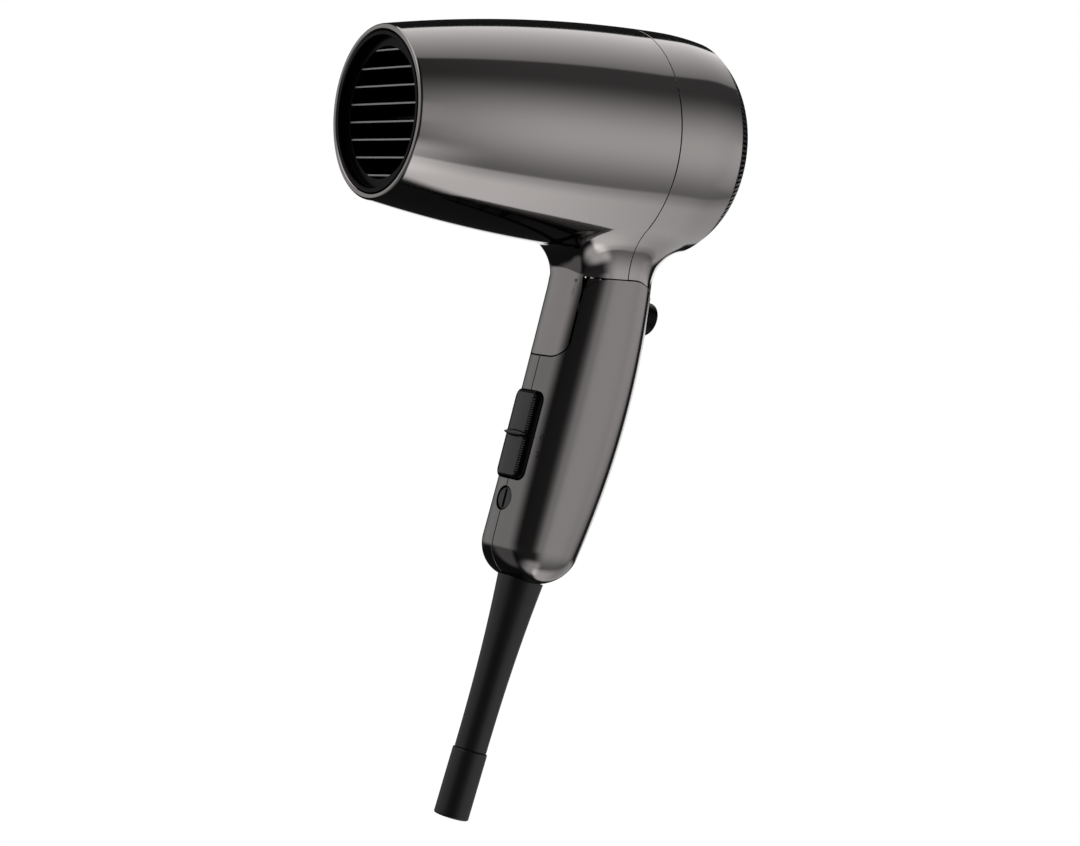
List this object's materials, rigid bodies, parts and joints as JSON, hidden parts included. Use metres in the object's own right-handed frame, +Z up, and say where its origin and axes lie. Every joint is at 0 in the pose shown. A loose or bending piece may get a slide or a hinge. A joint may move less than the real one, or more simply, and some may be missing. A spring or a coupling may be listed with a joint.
{
  "type": "folding travel hair dryer",
  "caption": "Compact hair dryer with a tapered round barrel, barred outlet, perforated intake, leaning folding handle, slide switch, push button and cord boot.",
  "frame": {"origin": "centre of the outlet mouth, on the barrel axis", "axes": "-X out of the mouth along the barrel axis, +Z up away from the handle, +Y across"},
  "size_m": [0.122, 0.0716, 0.2539],
  "materials": {
    "shell": "metallic gunmetal gloss",
    "black_trim": "satin",
    "boot_rubber": "satin",
    "mica": "matt",
    "steel": "satin",
    "brass": "satin",
    "circuit_board": "matt"
  },
  "bodies": {
    "handle": {"handle_left": "shell", "handle_right": "shell", "hinge_pin": "steel", "switch_body": "black_trim", "selector_body": "black_trim", "cool_spring": "steel", "cool_switch": "black_trim", "strain_relief": "boot_rubber", "boot_sleeve": "boot_rubber", "cord_clamp": "black_trim", "clamp_screws": "steel", "handle_screws": "steel"},
    "barrel": {"front_housing": "shell", "rear_housing": "shell", "outlet_grille": "black_trim", "intake_grille": "black_trim", "heat_shield": "mica", "heater_frame": "mica", "heater_coil": "steel", "thermostat": "steel", "thermal_fuse": "brass", "motor_mount": "black_trim", "motor": "steel", "rectifier_board": "circuit_board"},
    "rotor": {"fan": "black_trim", "motor_shaft": "steel"},
    "slider": {"switch_slider": "black_trim"},
    "selector": {"voltage_selector": "black_trim"},
    "button": {"cool_button": "black_trim"}
  },
  "joints": [
    {"name": "fold", "type": "hinge", "parent": "handle", "child": "barrel", "pos_m": [0.07693, 0, -0.054], "axis": [0, -1, 0], "range_deg": [0, 85]},
    {"name": "fan_spin", "type": "hinge", "parent": "barrel", "child": "rotor", "pos_m": [0.1, 0, 0], "axis": [1, 0, 0], "continuous": true},
    {"name": "switch_slide", "type": "slide", "parent": "handle", "child": "slider", "axis": [0.2099, 0, 0.9777], "range_m": [-0.0045, 0.0045]},
    {"name": "selector_turn", "type": "hinge", "parent": "handle", "child": "selector", "pos_m": [0.056, 0, -0.11516], "axis": [-0.9777, 0, 0.2099], "range_deg": [0, 90]},
    {"name": "button_push", "type": "slide", "parent": "handle", "child": "button", "axis": [-0.9724, 0, 0.2334], "range_m": [0, 0.0016], "stiffness_N_per_m": 300, "springref_m": -0.002, "deforming": ["cool_spring"]}
  ]
}
